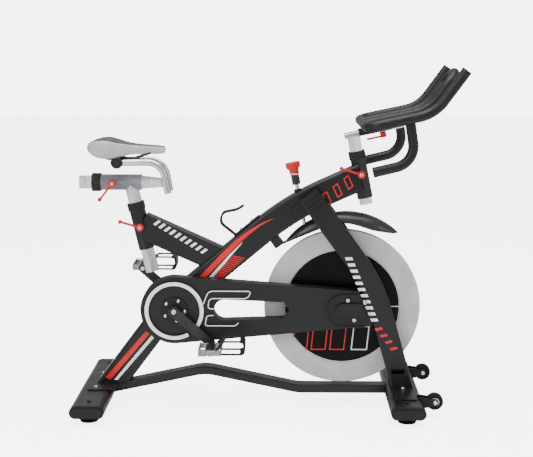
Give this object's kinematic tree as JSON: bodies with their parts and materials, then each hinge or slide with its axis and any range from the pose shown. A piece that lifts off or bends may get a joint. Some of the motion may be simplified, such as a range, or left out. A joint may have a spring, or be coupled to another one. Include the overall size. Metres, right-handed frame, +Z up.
{
  "type": "exercise bike",
  "caption": "Indoor cycling bike with a belt-driven flywheel, a bent beam frame, sliding saddle and handlebar posts, toe-cage pedals and transport wheels.",
  "frame": {"origin": "on the floor, under the middle of the outer box", "axes": "+X forward, +Y to the rider's left, +Z up"},
  "size_m": [1.2259, 0.545, 1.1014],
  "materials": {
    "frame_paint": "satin black",
    "black_plastic": "matte",
    "guard_paint": "satin",
    "rubber": "matte",
    "belt": "matte",
    "steel": "brushed",
    "post_metal": "satin",
    "sleeve_grey": "satin",
    "rim": "matte painted",
    "disc": "gloss",
    "pulley": "machined",
    "crank_paint": "satin",
    "pedal_plastic": "satin",
    "saddle_cover": "grained",
    "grip": "fine grained",
    "lever_red": "gloss",
    "felt": "felt"
  },
  "bodies": {
    "frame": {"main_beam": "frame_paint", "seat_beam": "frame_paint", "seat_tube": "frame_paint", "head_tube": "frame_paint", "tube_collars": "black_plastic", "bb_shell": "frame_paint", "fork_leg_right": "frame_paint", "fork_leg_left": "frame_paint", "base_rail": "frame_paint", "rear_stabiliser": "frame_paint", "front_stabiliser": "frame_paint", "stabiliser_caps": "black_plastic", "wheel_brackets": "black_plastic", "bottle_cage": "black_plastic", "fender": "black_plastic", "brake_block": "frame_paint", "knob_housing": "black_plastic", "guard_outer": "guard_paint", "guard_inner": "black_plastic", "frame_screws": "steel", "drive_belt": "belt", "bb_bearings": "steel", "flywheel_axle": "steel"},
    "flywheel": {"flywheel": "rim", "disc_covers": "disc", "flywheel_pulley": "pulley", "flywheel_bearings": "steel"},
    "cranks": {"bb_axle": "steel", "drive_pulley": "pulley", "spider": "black_plastic", "crank_right": "crank_paint", "crank_left": "crank_paint", "crank_bolts": "steel", "pedal_spindles": "steel"},
    "pedal_right": {"pedal_right": "pedal_plastic"},
    "pedal_left": {"pedal_left": "pedal_plastic"},
    "seat_post": {"seat_post": "post_metal", "seat_sleeve": "sleeve_grey", "sleeve_cap": "black_plastic"},
    "seat_slider": {"seat_slider": "post_metal"},
    "saddle": {"saddle_clamp": "steel", "saddle": "saddle_cover"},
    "seat_post_lever": {"seat_post_lever": "lever_red"},
    "seat_slider_lever": {"seat_slider_lever": "lever_red"},
    "head_post_lever": {"head_post_lever": "lever_red"},
    "stem_lever": {"stem_lever": "lever_red"},
    "bar_post": {"handlebar_post": "post_metal"},
    "handlebar": {"stem_carriage": "frame_paint", "handlebar": "grip"},
    "brake_knob": {"brake_knob": "lever_red"},
    "brake_rod": {"brake_rod": "steel"},
    "brake_leaf": {"brake_leaf": "frame_paint", "brake_pad": "felt"},
    "transport_wheel_right": {"transport_wheel_right": "rubber"},
    "transport_wheel_left": {"transport_wheel_left": "rubber"},
    "foot_rear_right": {"foot_rear_right": "rubber"},
    "foot_rear_left": {"foot_rear_left": "rubber"},
    "foot_front_right": {"foot_front_right": "rubber"},
    "foot_front_left": {"foot_front_left": "rubber"}
  },
  "joints": [
    {"name": "flywheel_spin", "type": "hinge", "parent": "frame", "child": "flywheel", "pos_m": [0.244, 0, 0.323], "axis": [0, 1, 0], "continuous": true},
    {"name": "crank_spin", "type": "hinge", "parent": "frame", "child": "cranks", "pos_m": [-0.299, 0, 0.322], "axis": [0, 1, 0], "continuous": true},
    {"name": "pedal_right_spin", "type": "hinge", "parent": "cranks", "child": "pedal_right", "pos_m": [-0.17825, -0.15, 0.21703], "axis": [0, 1, 0], "continuous": true},
    {"name": "pedal_left_spin", "type": "hinge", "parent": "cranks", "child": "pedal_left", "pos_m": [-0.41975, 0.15, 0.42697], "axis": [0, 1, 0], "continuous": true},
    {"name": "seat_height", "type": "slide", "parent": "frame", "child": "seat_post", "axis": [-0.225, 0, 0.9744], "range_m": [-0.03, 0.12]},
    {"name": "seat_fore_aft", "type": "slide", "parent": "seat_post", "child": "seat_slider", "axis": [1, 0, 0], "range_m": [-0.05, 0.05]},
    {"name": "saddle_tilt", "type": "hinge", "parent": "seat_slider", "child": "saddle", "pos_m": [-0.479, 0, 0.796], "axis": [0, 1, 0], "range_deg": [-10, 5]},
    {"name": "seat_post_lever_turn", "type": "hinge", "parent": "frame", "child": "seat_post_lever", "pos_m": [-0.40962, -0.04, 0.58737], "axis": [0, 1, 0], "range_deg": [-60, 60]},
    {"name": "seat_slider_lever_turn", "type": "hinge", "parent": "seat_post", "child": "seat_slider_lever", "pos_m": [-0.496, -0.04, 0.7295], "axis": [0, 1, 0], "range_deg": [-60, 60]},
    {"name": "handlebar_height", "type": "slide", "parent": "frame", "child": "bar_post", "axis": [-0.1994, 0, 0.9799], "range_m": [-0.015, 0.09]},
    {"name": "handlebar_fore_aft", "type": "slide", "parent": "bar_post", "child": "handlebar", "axis": [0.9782, 0, 0.2079], "range_m": [-0.01, 0.04]},
    {"name": "head_post_lever_turn", "type": "hinge", "parent": "frame", "child": "head_post_lever", "pos_m": [0.29951, -0.04, 0.75931], "axis": [0, 1, 0], "range_deg": [-60, 60]},
    {"name": "stem_lever_turn", "type": "hinge", "parent": "handlebar", "child": "stem_lever", "pos_m": [0.36608, 0, 0.90363], "axis": [-0.2079, 0, 0.9782], "range_deg": [-60, 60]},
    {"name": "brake_push", "type": "slide", "parent": "frame", "child": "brake_rod", "axis": [-0.1994, 0, 0.9799], "range_m": [-0.002, 0], "stiffness_N_per_m": 4000, "springref_m": 0.003},
    {"name": "brake_knob_turn", "type": "hinge", "parent": "brake_rod", "child": "brake_knob", "pos_m": [0.099, 0, 0.7], "axis": [-0.1994, 0, 0.9799], "range_deg": [-90, 90]},
    {"name": "brake_leaf_swing", "type": "hinge", "parent": "frame", "child": "brake_leaf", "pos_m": [0.03, 0, 0.527], "axis": [0, 1, 0], "range_deg": [0, 1.1]},
    {"name": "transport_wheel_right_spin", "type": "hinge", "parent": "frame", "child": "transport_wheel_right", "pos_m": [0.533, -0.1605, 0.051], "axis": [0, 1, 0], "continuous": true},
    {"name": "transport_wheel_left_spin", "type": "hinge", "parent": "frame", "child": "transport_wheel_left", "pos_m": [0.533, 0.1605, 0.051], "axis": [0, 1, 0], "continuous": true},
    {"name": "foot_rear_right_level", "type": "slide", "parent": "frame", "child": "foot_rear_right", "axis": [0, 0, 1], "range_m": [-0.01, 0]},
    {"name": "foot_rear_left_level", "type": "slide", "parent": "frame", "child": "foot_rear_left", "axis": [0, 0, 1], "range_m": [-0.01, 0]},
    {"name": "foot_front_right_level", "type": "slide", "parent": "frame", "child": "foot_front_right", "axis": [0, 0, 1], "range_m": [-0.01, 0]},
    {"name": "foot_front_left_level", "type": "slide", "parent": "frame", "child": "foot_front_left", "axis": [0, 0, 1], "range_m": [-0.01, 0]}
  ],
  "couplings": [
    {"joint": "crank_spin", "follows": "flywheel_spin", "ratio": 0.38095},
    {"joint": "brake_leaf_swing", "follows": "brake_push", "rad_per_m": -9.46}
  ]
}
